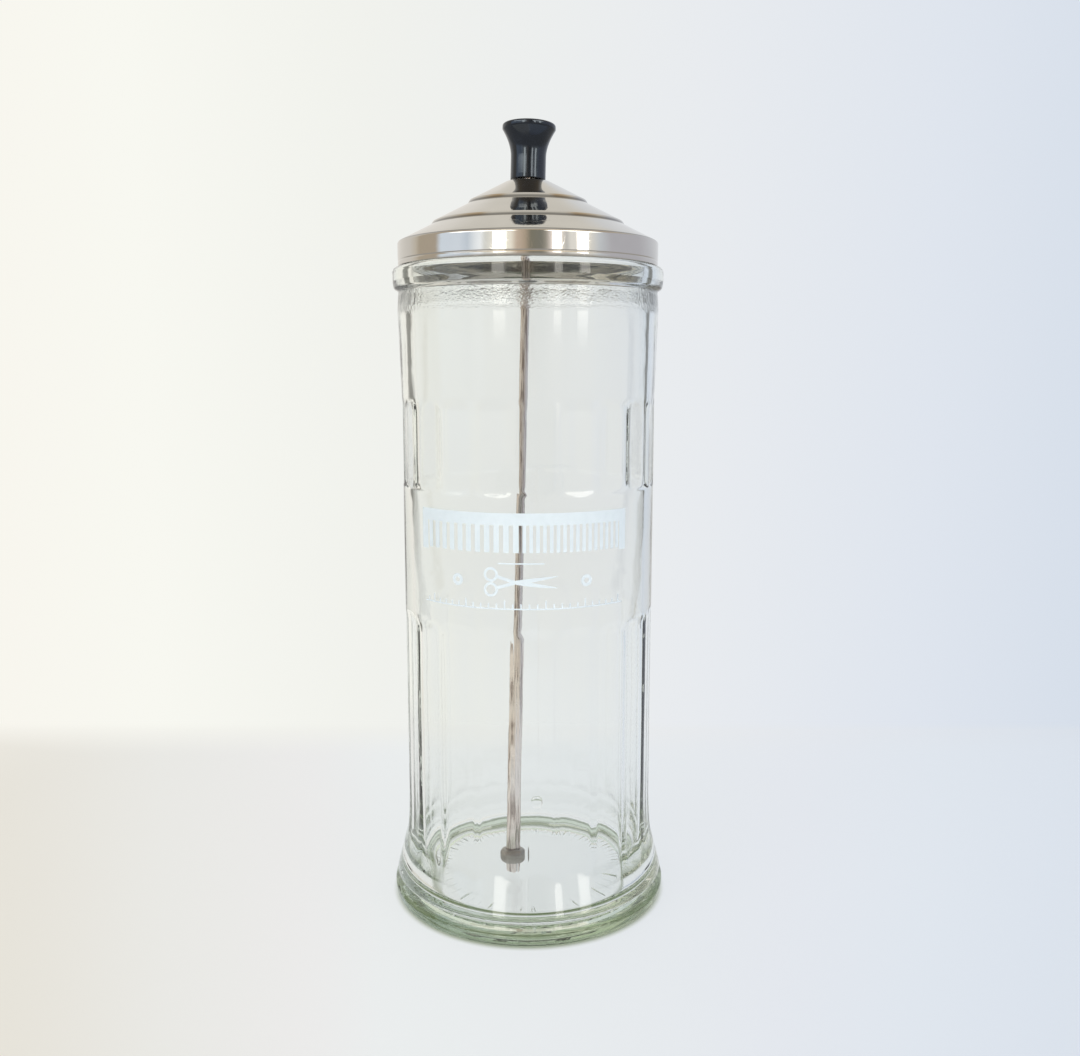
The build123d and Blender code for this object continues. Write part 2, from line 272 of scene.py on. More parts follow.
def new_material(name, **settings):
    """A material with a Principled shader. Settings are socket names with _ for spaces."""
    material = bpy.data.materials.new(name)
    material.use_nodes = True
    shader = material.node_tree.nodes["Principled BSDF"]
    for key, value in settings.items():
        shader.inputs[key.replace("_", " ")].default_value = value
    return material, material.node_tree, shader


def feed(tree, socket, value):
    """Link an output to a socket, or set the socket to a colour or a number."""
    if isinstance(value, tuple):
        socket.default_value = (*value, 1)
    elif isinstance(value, (int, float)):
        socket.default_value = value
    else:
        tree.links.new(value, socket)


def node(tree, kind, inputs=None, **settings):
    """A node with its settings, and its inputs fed by name or number."""
    made = tree.nodes.new(kind)
    for key, value in settings.items():
        setattr(made, key, value)
    for key, value in (inputs or {}).items():
        feed(tree, made.inputs[key], value)
    return made


def place_texture(tree, scale=(1, 1, 1)):
    """Object coordinates in metres, scaled."""
    source = node(tree, "ShaderNodeTexCoord")
    mapping = node(tree, "ShaderNodeMapping")
    mapping.inputs["Scale"].default_value = scale
    tree.links.new(source.outputs["Object"], mapping.inputs["Vector"])
    return mapping.outputs["Vector"]


def noise(tree, vector, scale, detail=4.0):
    inputs = {"Vector": vector, "Scale": scale, "Detail": detail, "Roughness": NOISE_ROUGHNESS}
    return node(tree, "ShaderNodeTexNoise", inputs).outputs["Fac"]


def ramp(tree, value, stops):
    """A colour ramp: stops are (position, grey or colour)."""
    made = node(tree, "ShaderNodeValToRGB")
    elements = made.color_ramp.elements
    while len(elements) < len(stops):
        elements.new(0.5)
    for element, (position, colour) in zip(elements, stops):
        element.position = position
        element.color = (*colour, 1) if isinstance(colour, tuple) else (colour, colour, colour, 1)
    tree.links.new(value, made.inputs["Fac"])
    return made.outputs["Color"]


def math_node(tree, operation, first, second):
    return node(tree, "ShaderNodeMath", {0: first, 1: second}, operation=operation).outputs[0]


def times(tree, first, second):
    return math_node(tree, "MULTIPLY", first, second)


def soft_step(tree, value, low, high):
    """The same smooth rise as smooth_step, in a shader. It falls where low is above high."""
    inputs = {"Value": value, "From Min": low, "From Max": high}
    return node(tree, "ShaderNodeMapRange", inputs, interpolation_type="SMOOTHSTEP").outputs["Result"]


def mix_colour(tree, factor, first, second, blend_type="MIX"):
    inputs = {0: factor, 6: first, 7: second}
    return node(tree, "ShaderNodeMix", inputs, data_type="RGBA", blend_type=blend_type).outputs[2]


def axes(tree, vector):
    """A vector's X, Y and Z."""
    return node(tree, "ShaderNodeSeparateXYZ", {0: vector}).outputs


def length(tree, vector):
    return node(tree, "ShaderNodeVectorMath", {0: vector}, operation="LENGTH").outputs["Value"]


def from_axis(tree):
    """Distance from the jar's axis."""
    return length(tree, place_texture(tree, (1, 1, 0)))


def bump(tree, shader, height, strength, distance, normal=None):
    """Raise the surface by height, over any earlier bump, and pass the result to the shader if given."""
    made = node(tree, "ShaderNodeBump", {"Strength": strength, "Distance": distance, "Height": height})
    if normal is not None:
        feed(tree, made.inputs["Normal"], normal)
    if shader is not None:
        feed(tree, shader.inputs["Normal"], made.outputs["Normal"])
    return made.outputs["Normal"]


# ---------------- materials

CLEAR_GLASS = (0.99, 0.995, 0.99)
HEEL_PAINTED_SHADE = (0.60, 0.70, 0.54)    # painted olive shade: the heel's face shows the olive of a long way through the shadowed foot
GLASS_ABSORPTION = (0.55, 0.62, 0.46)
GLASS_DENSITY = 9.5
HEEL_TINT_FADE = 0.4 * MM
HEEL_TINT_IN = (7.0 * MM, 6.0 * MM)  # the painted olive shade starts and is whole this far in from the heel's face
SMOOTH_FOOT = 8.0 * MM              # the ripple comes in over this height above the heel


def glass_material():
    """Clear glass: faint grey-green body, painted olive shade on the heel, a pressed wall's ripple and a wavy
    neck.
    """
    material, tree, shader = new_material(
        "jar_glass",
        Base_Color=(*CLEAR_GLASS, 1),
        Roughness=0.0,
        IOR=1.52,
        Transmission_Weight=1.0,
    )
    inputs = {"Color": GLASS_ABSORPTION, "Density": GLASS_DENSITY}
    absorption = node(tree, "ShaderNodeVolumeAbsorption", inputs)
    feed(tree, tree.nodes["Material Output"].inputs["Volume"], absorption.outputs["Volume"])
    vector = place_texture(tree)
    height = axes(tree, vector)["Z"]
    # painted shade: the glass's colour turns olive and darker on the heel's face
    low = soft_step(tree, height, HEEL_TOP_Z + HEEL_TINT_FADE, HEEL_TOP_Z - HEEL_TINT_FADE)
    outer = soft_step(tree, from_axis(tree), *(HEEL_R - inwards for inwards in HEEL_TINT_IN))
    tint = mix_colour(tree, times(tree, low, outer), CLEAR_GLASS, HEEL_PAINTED_SHADE)
    feed(tree, shader.inputs["Base Color"], tint)
    over_foot = soft_step(tree, height, HEEL_TOP_Z, HEEL_TOP_Z + SMOOTH_FOOT)
    slow = times(tree, noise(tree, vector, 55.0, detail=1.0), over_foot)
    fine = times(tree, noise(tree, vector, 420.0, detail=1.0), over_foot)
    swell = bump(tree, None, slow, 0.05, 0.4 * MM)
    skin = bump(tree, None, fine, 0.10, 0.05 * MM, swell)
    above = soft_step(tree, height, SHOULDER_Z - 2.5 * MM, SHOULDER_Z + 0.5 * MM)
    below = soft_step(tree, height, NECK_Z + 1.0 * MM, NECK_Z - 1.0 * MM)
    orange_peel = noise(tree, place_texture(tree, (1, 1, 1.8)), 850.0, detail=2.0)
    neck_waves = times(tree, orange_peel, times(tree, above, below))
    bump(tree, shader, neck_waves, 0.5, 0.20 * MM, skin)
    return material


def crease_shade_stops():
    """Stops over the lid's radius: bright metal, with a thin line of painted shade at each crease and the
    fold.
    """
    profile = ((-1.0, 1.0), (-0.5, CREASE_SHADE_TONE), (0.5, CREASE_SHADE_TONE), (1.0, 1.0))
    stops = [(0.0, 1.0)]
    for radius in (RISERS[1][0], RISERS[0][0], SKIRT_R - FOLD_SHADE_IN):
        stops += [((radius + side * CREASE_SHADE_WIDTH) / SKIRT_R, tone) for side, tone in profile]
    return stops


def hair_scratches(tree, vector):
    """Thin wandering lines: 0 in a scratch and 1 outside it."""
    warp = node(tree, "ShaderNodeTexNoise", {"Vector": vector, "Scale": 70.0}).outputs["Color"]
    scaled = node(tree, "ShaderNodeVectorMath", {0: warp, "Scale": 0.02}, operation="SCALE").outputs[0]
    warped = node(tree, "ShaderNodeVectorMath", {0: vector, 1: scaled}, operation="ADD").outputs[0]
    inputs = {"Vector": warped, "Scale": 130.0}
    cells = node(tree, "ShaderNodeTexVoronoi", inputs, feature="DISTANCE_TO_EDGE")
    return ramp(tree, cells.outputs["Distance"], [(0.0, 0.0), (0.012, 1.0)])


def small_pits(tree, vector):
    """0 in a pit and 1 outside it."""
    cells = node(tree, "ShaderNodeTexVoronoi", {"Vector": vector, "Scale": 520.0})
    return ramp(tree, cells.outputs["Distance"], [(0.05, 0.0), (0.16, 1.0)])


def steel_material(name, colour, roughness, spread):
    """Polished sheet steel: soft smears, hair scratches, small pits and painted shade lines in the creases.
    """
    material, tree, shader = new_material(name, Base_Color=(*colour, 1), Metallic=1.0)
    vector = place_texture(tree)
    smears = noise(tree, vector, 60.0, detail=5.0)
    fine = noise(tree, vector, 900.0, detail=3.0)
    blend = math_node(tree, "ADD", times(tree, smears, 0.75), times(tree, fine, 0.25))
    rough = ramp(tree, blend, [(0.3, roughness - spread), (0.7, roughness + spread)])
    feed(tree, shader.inputs["Roughness"], rough)
    tone = ramp(tree, smears, [(0.25, tuple(0.90 * c for c in colour)), (0.75, colour)])
    # painted shade: dark lines in the creases and at the fold, above the skirt
    painted_crease_shade = ramp(tree, math_node(tree, "DIVIDE", from_axis(tree), SKIRT_R), crease_shade_stops())
    above_skirt = soft_step(tree, axes(tree, vector)["Z"], FOLD_Z - 0.9 * MM, FOLD_Z - 0.3 * MM)
    feed(tree, shader.inputs["Base Color"], mix_colour(tree, above_skirt, tone, painted_crease_shade, "MULTIPLY"))
    marks = times(tree, hair_scratches(tree, vector), small_pits(tree, vector))
    first = bump(tree, None, marks, 0.10, 0.03 * MM)
    bump(tree, shader, fine, 0.06, 0.02 * MM, first)
    return material


def knob_material():
    """Glossy black moulding with faint orange peel and handling marks."""
    material, tree, shader = new_material(
        "knob_black",
        Base_Color=(0.008, 0.010, 0.016, 1),
        Roughness=0.10,
        IOR=1.62,
        Specular_Tint=(0.78, 0.89, 1.0, 1),
    )
    vector = place_texture(tree)
    wear = noise(tree, vector, 220.0, detail=5.0)
    feed(tree, shader.inputs["Roughness"], ramp(tree, wear, [(0.35, 0.05), (0.72, 0.15)]))
    black = ramp(tree, wear, [(0.3, (0.004, 0.005, 0.009)), (0.8, (0.010, 0.012, 0.019))])
    feed(tree, shader.inputs["Base Color"], black)
    peel = noise(tree, vector, 700.0, detail=2.0)
    bump(tree, shader, peel, 0.08, 0.04 * MM)
    return material


def rod_material():
    """Drawn rod: fine lines along its length and a dull film in patches."""
    material, tree, shader = new_material("rod_metal", Base_Color=(0.60, 0.57, 0.53, 1), Metallic=1.0)
    along = place_texture(tree, (1, 1, 0.004))
    lines = noise(tree, along, 1900.0, detail=2.0)
    patches = noise(tree, place_texture(tree), 45.0, detail=5.0)
    feed(tree, shader.inputs["Roughness"], ramp(tree, patches, [(0.35, 0.16), (0.70, 0.30)]))
    film = ramp(tree, patches, [(0.30, (0.78, 0.69, 0.63)), (0.70, (0.90, 0.84, 0.80))])
    grain = ramp(tree, lines, [(0.40, (0.42, 0.38, 0.36)), (0.54, (1.0, 1.0, 1.0))])
    feed(tree, shader.inputs["Base Color"], mix_colour(tree, 1.0, film, grain, "MULTIPLY"))
    bump(tree, shader, lines, 0.25, 0.03 * MM)
    return material


def bead_material():
    """Dull cast collar with small pits and a brown film."""
    material, tree, shader = new_material("bead_metal", Base_Color=(0.46, 0.43, 0.39, 1), Metallic=1.0)
    vector = place_texture(tree)
    film = noise(tree, vector, 320.0, detail=5.0)
    brown = ramp(tree, film, [(0.30, (0.24, 0.21, 0.18)), (0.70, (0.56, 0.53, 0.49))])
    feed(tree, shader.inputs["Base Color"], brown)
    feed(tree, shader.inputs["Roughness"], ramp(tree, film, [(0.35, 0.30), (0.70, 0.55)]))
    pits = noise(tree, vector, 1400.0, detail=3.0)
    bump(tree, shader, pits, 0.45, 0.12 * MM)
    return material


def plain_metal(name, colour, roughness):
    """Small turned or pressed fixings: a fine grain in the tone, the roughness and the surface."""
    material, tree, shader = new_material(name, Base_Color=(*colour, 1), Metallic=1.0)
    vector = place_texture(tree)
    grain = noise(tree, vector, 900.0, detail=4.0)
    rough = ramp(tree, grain, [(0.3, roughness - 0.08), (0.7, roughness + 0.10)])
    feed(tree, shader.inputs["Roughness"], rough)
    tone = ramp(tree, grain, [(0.2, tuple(0.82 * c for c in colour)), (0.8, colour)])
    feed(tree, shader.inputs["Base Color"], tone)
    bump(tree, shader, grain, 0.10, 0.03 * MM)
    return material


def print_material():
    """Fired bluish-white enamel print, slightly uneven."""
    material, tree, shader = new_material("print_white", Base_Color=(0.76, 0.85, 0.92, 1), Roughness=0.45)
    vector = place_texture(tree)
    mottle = noise(tree, vector, 420.0, detail=4.0)
    tone = ramp(tree, mottle, [(0.3, (0.68, 0.77, 0.84)), (0.6, (0.71, 0.80, 0.87))])
    feed(tree, shader.inputs["Base Color"], tone)
    feed(tree, shader.inputs["Roughness"], ramp(tree, mottle, [(0.3, 0.38), (0.7, 0.55)]))
    bump(tree, shader, mottle, 0.10, 0.02 * MM)
    return material


# ---------------- the glass jar

FACET_COLUMNS_DEG = (-9.0, -8.4, -7.95, -7.2, -5.2, -3.0, -1.0, 1.0, 3.0, 5.2, 7.2, 7.95, 8.4)
SEAM_OFFSET_DEG = -4.0
SEAM_COLUMNS_DEG = (-4.7, -4.35, -4.0, -3.65)
SEAM_HEIGHT = 0.10 * MM
SEAM_WIDTH = 0.28 * MM
KNURLS = 56
KNURL_MIDDLE_R = 36.0 * MM
KNURL_LENGTH = 4.6 * MM
KNURL_WIDTH = 1.1 * MM
KNURL_HEIGHT = 0.42 * MM
DOT_Z = 52.0 * MM
DOT_R = 2.1 * MM
DOT_HEIGHT = 0.45 * MM
DOT_COLUMNS = 9
INSIDE_FOLLOW = 0.54       # how much of the lower facets' depth shows on the inside of the wall
INSIDE_FOLLOW_UPPER = 0.92
RIPPLE = 0.035 * MM
RIPPLE_SHIFT = 0.4
RIPPLE_WAVES = (               # turns round the jar, turns along it in radians per metre, and phase
    (3, 210.0, 0.3), (7, 330.0, 1.7), (11, 150.0, 2.9), (17, 480.0, 4.1), (5, 620.0, 5.3),
)
STEP_WAVE = 0.13 * MM
STEP_WAVE_TURNS = (5, 13, 23, 41, 67, 83)
NEAR_ANGLE = 0.2               # radians: a seam or the dot shows only this near its own place
SEAM_START_Z = (1.0 * MM, 2.5 * MM)
SEAM_END_Z = (60 * MM, 110 * MM)
FOOT_CONE_TOP_Z = 60 * MM      # the foot's slope has met the wall well below this
FACE_LIMIT_R = HEEL_R - 0.02 * MM
UNDERSIDE_Z = 3 * MM
INSIDE_START_Z = (10 * MM, 24 * MM)    # the inside starts to follow the facets here, and stops there
INSIDE_END_Z = (225 * MM, 232 * MM)

# Heights where the mesh rows lie closer, for the dot and for the arched ends of the facets.
DOT_LOW_Z = DOT_Z - DOT_R - 0.3 * MM
DOT_HIGH_Z = DOT_Z + DOT_R + 0.3 * MM
UNDER_DOT_Z = 46 * MM
LOWER_ARCH_Z = 106.5 * MM
UPPER_FOOT_ARCH_Z = 165 * MM
UPPER_ARCH_Z = 184 * MM
LOWER_ARCH_INSIDE_Z = 107 * MM
UPPER_ARCH_INSIDE_Z = 185 * MM


def jar_columns():
    """Angles of the jar's mesh columns: closer at the ridges and at the two mould seams."""
    angles = []
    for n in range(FACETS):
        middle = FIRST_FACET + 2 * pi * n / FACETS
        offsets = list(FACET_COLUMNS_DEG)
        if n in (0, FACETS // 2):
            offsets += SEAM_COLUMNS_DEG
        if n == 0:
            reach = degrees(DOT_R / BAND_R)
            offsets += [reach * k / DOT_COLUMNS for k in range(-DOT_COLUMNS, DOT_COLUMNS + 1)]
        offsets = sorted(set(offsets))
        angles += [middle + radians(offset) for offset in offsets]
    return np.array(angles)


def facet_offset(angle):
    """Angle from the middle of the facet that this angle lies in."""
    sector = 2 * pi / FACETS
    return (angle - FIRST_FACET + sector / 2) % sector - sector / 2


def flare_run(z):
    """How far the facets have swept outwards at height z."""
    drop = np.clip(FLARE_TOP_Z - z, 0, FACET_FLARE_R * 0.9)
    return FACET_FLARE_R - np.sqrt(FACET_FLARE_R ** 2 - drop ** 2)


def facet_depth(angle, z):
    """How deep the facets cut into the round wall at this place."""
    offset = facet_offset(angle)
    round_r = BAND_R + flare_run(z)
    flat_r = (FACET_APOTHEM + flare_run(z)) / np.cos(offset)
    depth = soft_max(round_r - flat_r, 0.0, 0.03 * MM) - 0.015 * MM
    sideways = np.abs(offset) * round_r
    into_corner = np.clip(sideways - (FACET_HALF_WIDTH - FACET_CORNER_R), 0, FACET_CORNER_R)
    arch = FACET_CORNER_R - np.sqrt(FACET_CORNER_R ** 2 - into_corner ** 2)
    inside = np.zeros_like(sideways + z)
    for bottom, top in FACET_ROWS:
        under_top = smooth_step(top - arch - z, -FACET_TOP_SOFTNESS / 4, FACET_TOP_SOFTNESS)
        over_bottom = smooth_step(z - bottom - arch, -FACET_BOTTOM_SOFTNESS / 4, FACET_BOTTOM_SOFTNESS)
        inside = np.maximum(inside, under_top * over_bottom)
    return depth * inside


def ripple(angle, z):
    """Slow unevenness of a pressed wall, the same on each run."""
    total = 0
    for turns, along, phase in RIPPLE_WAVES:
        across = np.sin(turns * angle + phase + RIPPLE_SHIFT)
        total = total + across * np.sin(along * z + 1.3 * phase + RIPPLE_SHIFT)
    return RIPPLE * total / 2


def outside_radius(angle, r, z):
    """Radius of the jar's outside where the round outline has radius r."""
    in_wall = (z > HEEL_TOP_Z) & (z < SHOULDER_Z)
    wall = BAND_R + flare_run(z) - facet_depth(angle, z)
    above = np.interp(z, [UPPER_FACETS_TOP_Z, SHOULDER_Z], [0, SHOULDER_R - BAND_R])
    cone = HEEL_R - FOOT_SLOPE * (z - HEEL_TOP_Z)
    shaped = soft_max(wall + above, cone, 0.25 * MM)
    shaped = np.where(z < FOOT_CONE_TOP_Z, shaped, wall + above)
    lower = smooth_step(z, HEEL_TOP_Z, HEEL_TOP_Z + 3 * MM)
    radius = np.where(in_wall, shaped * lower + np.minimum(r, shaped + 1) * (1 - lower), r)
    seam = np.abs(facet_offset(angle) - radians(SEAM_OFFSET_DEG)) * r
    front_or_back = np.abs(np.cos(angle)) < NEAR_ANGLE
    ridge = SEAM_HEIGHT * np.exp(-((seam / SEAM_WIDTH) ** 2)) * front_or_back
    ridge = ridge * smooth_step(z, *SEAM_START_Z) * (1 - smooth_step(z, *SEAM_END_Z))
    away = np.hypot(facet_offset(angle) * r, z - DOT_Z)
    dot = DOT_HEIGHT * np.sqrt(np.clip(1 - (away / DOT_R) ** 2, 0, 1))
    dot = dot * (np.abs(angle - FIRST_FACET) < NEAR_ANGLE)
    return np.minimum(radius + ridge + dot, FACE_LIMIT_R)


def stepped(runs):
    """Heights that rise evenly: each run is (start, step in mm) and goes up to the next run's start."""
    heights = []
    for (start, step), (end, _) in zip(runs, runs[1:]):
        parts = max(1, round((end - start) / (step * MM)))
        heights += [start + (end - start) * k / parts for k in range(parts)]
    return heights


def jar_outside_rows():
    """(radius, height) of the outside from under the foot's middle up to the top of the rim."""
    under = subdivided(outline([
        (1.5 * MM, PUSH_UP_DEPTH),
        (PUSH_UP_R - PUSH_UP_RAMP, PUSH_UP_DEPTH, 1.0 * MM),
        (PUSH_UP_R, 0, 1.2 * MM),
        (HEEL_R, 0, HEEL_ROUND),
        (HEEL_R, HEEL_TOP_Z - 1.0 * MM),
    ], steps=5), 1.9 * MM)
    heights = stepped([
        (HEEL_TOP_Z, 1.7), (UNDER_DOT_Z, 0.9), (DOT_LOW_Z, 0.34), (DOT_HIGH_Z, 4.5),
        (LOWER_ARCH_Z, 0.55), (LOWER_FACETS_TOP_Z + 1.2 * MM, 4.5), (UPPER_FACETS_BOTTOM_Z - 0.6 * MM, 0.40),
        (UPPER_FOOT_ARCH_Z, 4.5), (UPPER_ARCH_Z, 0.60), (UPPER_FACETS_TOP_Z + 1.2 * MM, 4.5),
        (SHOULDER_Z - 1.6 * MM, 1.0),
    ])
    wall = [(BAND_R, z) for z in heights]
    mouth = outline([
        (SHOULDER_R - 0.05 * MM, SHOULDER_Z - 1.0 * MM),
        (SHOULDER_R, SHOULDER_Z, 6.0 * MM),
        (NECK_R, NECK_Z, 0.6 * MM),
        (BEAD_R - 0.4 * MM, BEAD_BOTTOM_Z, BEAD_ROUND / 1.4),
        (BEAD_R, BEAD_BOTTOM_Z + 2.4 * MM, 1.2 * MM),
        (BEAD_R, BEAD_TOP_Z, BEAD_ROUND),
        (FINISH_R, BEAD_TOP_Z, 0.6 * MM),
        (FINISH_R, RIM_Z, RIM_ROUND),
        (MOUTH_BORE_R + 1.7 * MM, RIM_Z),
    ], steps=6)
    return under + wall + subdivided(mouth, 1.6 * MM)


def jar_inside_rows():
    """(radius, height) of the inside from the rim down to the middle of the floor."""
    wall_top_z = MOUTH_BORE_Z - BORE_STEP - 2 * MM
    wall_bottom_z = FLOOR_Z + FLOOR_CORNER_R + 0.5 * MM
    mouth = outline([
        (MOUTH_BORE_R + 1.6 * MM, RIM_Z),
        (MOUTH_BORE_R, RIM_Z, RIM_ROUND),
        (MOUTH_BORE_R, MOUTH_BORE_Z, 2.0 * MM),
        (BORE_R, MOUTH_BORE_Z - BORE_STEP, 2.0 * MM),
        (BORE_R, wall_top_z),
    ], steps=8)
    wall = stepped([
        (wall_bottom_z, 4.5), (LOWER_ARCH_INSIDE_Z, 1.0), (LOWER_FACETS_TOP_Z + 1.5 * MM, 4.5),
        (UPPER_FACETS_BOTTOM_Z - 0.6 * MM, 0.7), (UPPER_FOOT_ARCH_Z, 4.5), (UPPER_ARCH_INSIDE_Z, 0.9),
        (UPPER_FACETS_TOP_Z + 1.5 * MM, 4.5), (wall_top_z, 1.0),
    ])
    wall_rows = [(BORE_R, z) for z in reversed(wall)]
    floor = outline([
        (BORE_R, wall_bottom_z),
        (BORE_R, FLOOR_Z, FLOOR_CORNER_R),
        (1.5 * MM, FLOOR_Z),
    ], steps=8)
    return subdivided(mouth, 2.5 * MM) + wall_rows + subdivided(floor, 3.0 * MM)[1:]


def knurl_height(angles, r):
    """Height of the short radial ribs under the foot, at radius r."""
    across = np.abs((angles * KNURLS / (2 * pi)) % 1 - 0.5) * 2 * pi / KNURLS * r
    side = 1 - smooth_step(across, KNURL_WIDTH * 0.35, KNURL_WIDTH * 0.75)
    along = 1 - smooth_step(abs(r - KNURL_MIDDLE_R), KNURL_LENGTH * 0.42, KNURL_LENGTH * 0.58)
    return KNURL_HEIGHT * side * along


def ring_of(radii, angles, heights):
    return [Vector((r * cos(a), r * sin(a), z)) for r, a, z in zip(radii, angles, heights)]


def outside_ring(angles, r, z):
    """One ring of the outside, with facets, seams and dot, or with the ribs under the foot."""
    heights = np.full_like(angles, z)
    radii = outside_radius(angles, r, heights)
    if z < UNDERSIDE_Z and r < PUSH_UP_R:
        heights = heights + knurl_height(angles, r)
    return ring_of(radii, angles, heights)


def inside_ring(angles, r, z):
    """One ring of the inside, which follows the facets softly and has a wavy step under the mouth."""
    heights = np.full_like(angles, z)
    fade = smooth_step(z, *INSIDE_START_Z) * (1 - smooth_step(z, *INSIDE_END_Z))
    lower = z < (LOWER_FACETS_TOP_Z + UPPER_FACETS_BOTTOM_Z) / 2
    follow = INSIDE_FOLLOW if lower else INSIDE_FOLLOW_UPPER
    radii = r - follow * facet_depth(angles, heights) * fade + ripple(angles, heights) * fade
    if abs(z - (MOUTH_BORE_Z - BORE_STEP / 2)) < BORE_STEP:
        heights = heights + STEP_WAVE * sum(np.sin(turns * angles + turns) for turns in STEP_WAVE_TURNS)
    return ring_of(radii, angles, heights)


def glass_jar_piece():
    """The whole jar as one closed mesh, from under the foot over the rim to the floor inside."""
    angles = jar_columns()
    rings = [[Vector((0, 0, PUSH_UP_DEPTH))]]
    rings += [outside_ring(angles, r, z) for r, z in jar_outside_rows()]
    rings += [inside_ring(angles, r, z) for r, z in jar_inside_rows()]
    rings.append([Vector((0, 0, FLOOR_Z))])
    vertices, faces = ring_grid(rings)
    return mesh_piece("jar_glass_body", vertices, faces)


# ---------------- the white print on the label band

PRINT_R = BAND_R + 0.02 * MM
PRINT_THICKNESS = 0.05 * MM
PRINT_MIDDLE = radians(-92.5)


def ribbon(points, widths, close=False):
    """Two edges, left and right, of a ribbon along (across, height) points with the widths given."""
    spots = [Vector(p) for p in points]
    count = len(spots)
    left, right = [], []
    for n, spot in enumerate(spots):
        before = spots[n - 1] if (close or n) else spot
        after = spots[(n + 1) % count] if (close or n < count - 1) else spot
        way = (after - before).normalized()
        aside = Vector((-way.y, way.x)) * widths[n] / 2
        left.append(spot + aside)
        right.append(spot - aside)
    return left, right


def bar(start, end, width, step=1.0 * MM):
    """A straight ribbon, cut short enough to follow the jar's round."""
    start, end = Vector(start), Vector(end)
    parts = max(2, int((end - start).length / step))
    points = [start.lerp(end, k / parts) for k in range(parts + 1)]
    return ribbon(points, [width] * (parts + 1)) + (False,)


def hoop(centre, radius, width, steps=28):
    """A ring-shaped ribbon."""
    turns = [2 * pi * k / steps for k in range(steps)]
    points = [(centre[0] + radius * cos(a), centre[1] + radius * sin(a)) for a in turns]
    return ribbon(points, [width] * steps, close=True) + (True,)


def blade(start, end, wide, narrow, parts=14):
    """A ribbon that tapers towards its end."""
    start, end = Vector(start), Vector(end)
    points = [start.lerp(end, k / parts) for k in range(parts + 1)]
    widths = [wide + (narrow - wide) * (k / parts) ** 2 for k in range(parts + 1)]
    return ribbon(points, widths) + (False,)


def printed(name, ribbons):
    """A thin raised print on the label band from ribbons in (across, height) metres."""
    vertices, faces = [], []
    for left, right, close in ribbons:
        start = len(vertices)
        count = len(left)
        for a, b in zip(left, right):
            for edge in (a, b):
                for radius in (PRINT_R, PRINT_R + PRINT_THICKNESS):
                    angle = PRINT_MIDDLE + edge.x / PRINT_R
                    vertices.append((radius * cos(angle), radius * sin(angle), edge.y))
        for k in range(count if close else count - 1):
            a = start + 4 * k
            b = start + 4 * ((k + 1) % count)
            faces += [(a + 1, a + 3, b + 3, b + 1), (a, b, b + 2, a + 2)]
            faces += [(a, a + 1, b + 1, b), (a + 2, b + 2, b + 3, a + 3)]
        if not close:
            a, b = start, start + 4 * (count - 1)
            faces += [(a, a + 2, a + 3, a + 1), (b, b + 1, b + 3, b + 2)]
    return mesh_piece(name, vertices, faces, smooth_deg=30)


COMB_HALF = 40.5 * MM
COMB_TOP = 154.6 * MM
COMB_BOTTOM = 140.2 * MM
SPINE_HEIGHT = 4.2 * MM
GUARD_WIDTH = 3.2 * MM
TOOTH_SHORTER = 0.8 * MM
COARSE_PITCH, COARSE_WIDTH = 3.2 * MM, 1.9 * MM
FINE_PITCH, FINE_WIDTH = 2.2 * MM, 1.25 * MM
SCISSORS_Z = 130.8 * MM
HANDLE_AT = (-10.5 * MM, 2.6 * MM)     # across and up from the scissors' middle
SHANK_FROM = (-8.5 * MM, 2.0 * MM)
SHANK_TO = (-1.0 * MM, -0.2 * MM)
BLADE_FROM_X = -1.6 * MM
BLADE_TO = (12.5 * MM, -2.0 * MM)
SMALL_RING_X = 23.2 * MM
RULE_Z = 121.5 * MM
RULE_HALF = 39 * MM
SHORT_RULE_Z = 137.3 * MM
SHORT_RULE_HALF = 8 * MM
RULE_WIDTH = 0.5 * MM
TICKS = 27
TICK_SPAN = 74 * MM
TICK_WIDTH = 0.55 * MM
TICK_HEIGHT = 1.8 * MM
LONG_TICK_HEIGHT = 3.0 * MM
LONG_TICK_EVERY = 5


def comb_print():
    """A plain comb: spine, two guard teeth, coarse teeth on one half and fine teeth on the other."""
    spine_z = COMB_TOP - SPINE_HEIGHT / 2
    ribbons = [bar((-COMB_HALF, spine_z), (COMB_HALF, spine_z), SPINE_HEIGHT)]
    tooth_top = COMB_TOP - SPINE_HEIGHT
    for side in (-1, 1):
        x = side * (COMB_HALF - GUARD_WIDTH / 2)
        ribbons.append(bar((x, tooth_top), (x, COMB_BOTTOM), GUARD_WIDTH, step=4 * MM))
    rows = (
        (-COMB_HALF + GUARD_WIDTH, 0.0, COARSE_PITCH, COARSE_WIDTH),
        (0.0, COMB_HALF - GUARD_WIDTH, FINE_PITCH, FINE_WIDTH),
    )
    for low, high, pitch, width in rows:
        count = int((high - low) / pitch)
        for k in range(count):
            x = low + (k + 0.5) * (high - low) / count
            ribbons.append(bar((x, tooth_top), (x, COMB_BOTTOM + TOOTH_SHORTER), width, step=4 * MM))
    return printed("print_comb", ribbons)


def scissors_print():
    """A plain pair of scissors lying on its side, between two small rings."""
    def spot(place, side):
        return (place[0], SCISSORS_Z + side * place[1])

    ribbons = []
    for side in (-1, 1):
        ribbons.append(hoop(spot(HANDLE_AT, side), radius=2.1 * MM, width=0.9 * MM))
        ribbons.append(bar(spot(SHANK_FROM, side), spot(SHANK_TO, side), width=1.1 * MM))
        blade_end = spot(BLADE_TO, side)
        ribbons.append(blade((BLADE_FROM_X, SCISSORS_Z), blade_end, wide=1.5 * MM, narrow=0.25 * MM))
        ribbons.append(hoop((side * SMALL_RING_X, SCISSORS_Z), radius=1.5 * MM, width=1.2 * MM))
    return printed("print_scissors", ribbons)


